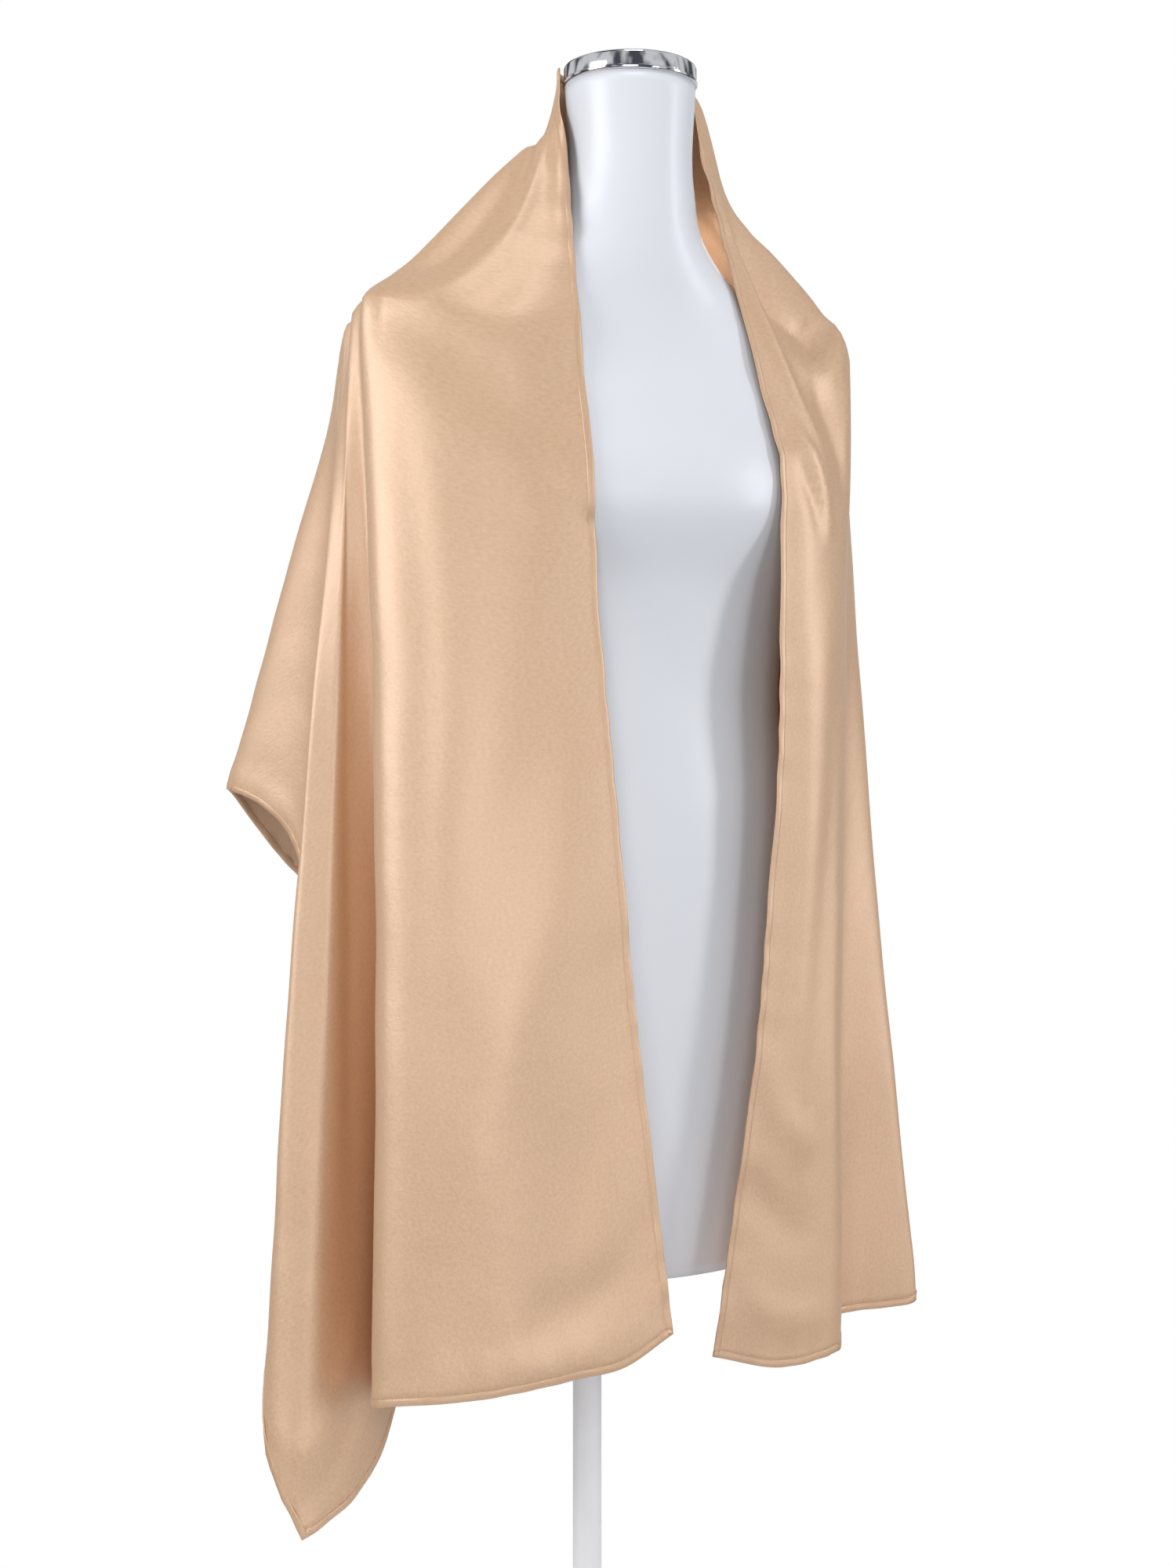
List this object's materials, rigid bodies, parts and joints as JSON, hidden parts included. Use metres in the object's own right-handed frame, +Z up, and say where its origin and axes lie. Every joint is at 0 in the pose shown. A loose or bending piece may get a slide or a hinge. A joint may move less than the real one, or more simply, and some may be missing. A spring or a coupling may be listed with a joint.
{
  "type": "evening stole on dress form",
  "caption": "Satin evening stole draped round the neck and over both shoulders of a limbless dress form on a pole stand.",
  "frame": {"origin": "centre of the underside of the stand's base, on the pole's axis", "axes": "+Z up along the pole, -Y the way the form faces, +X towards the form's left shoulder"},
  "size_m": [0.5124, 0.3551, 1.3723],
  "materials": {
    "satin": "champagne satin, soft sheen",
    "form_shell": "white shell, slightly glossy",
    "chrome": "polished",
    "stand_paint": "white powder coat"
  },
  "bodies": {
    "root": {"stole_right_front": "satin", "stole_back": "satin", "stole_left_front": "satin", "dress_form": "form_shell", "neck_cap": "chrome", "stand_pole": "stand_paint", "stand_base": "stand_paint"}
  },
  "joints": []
}
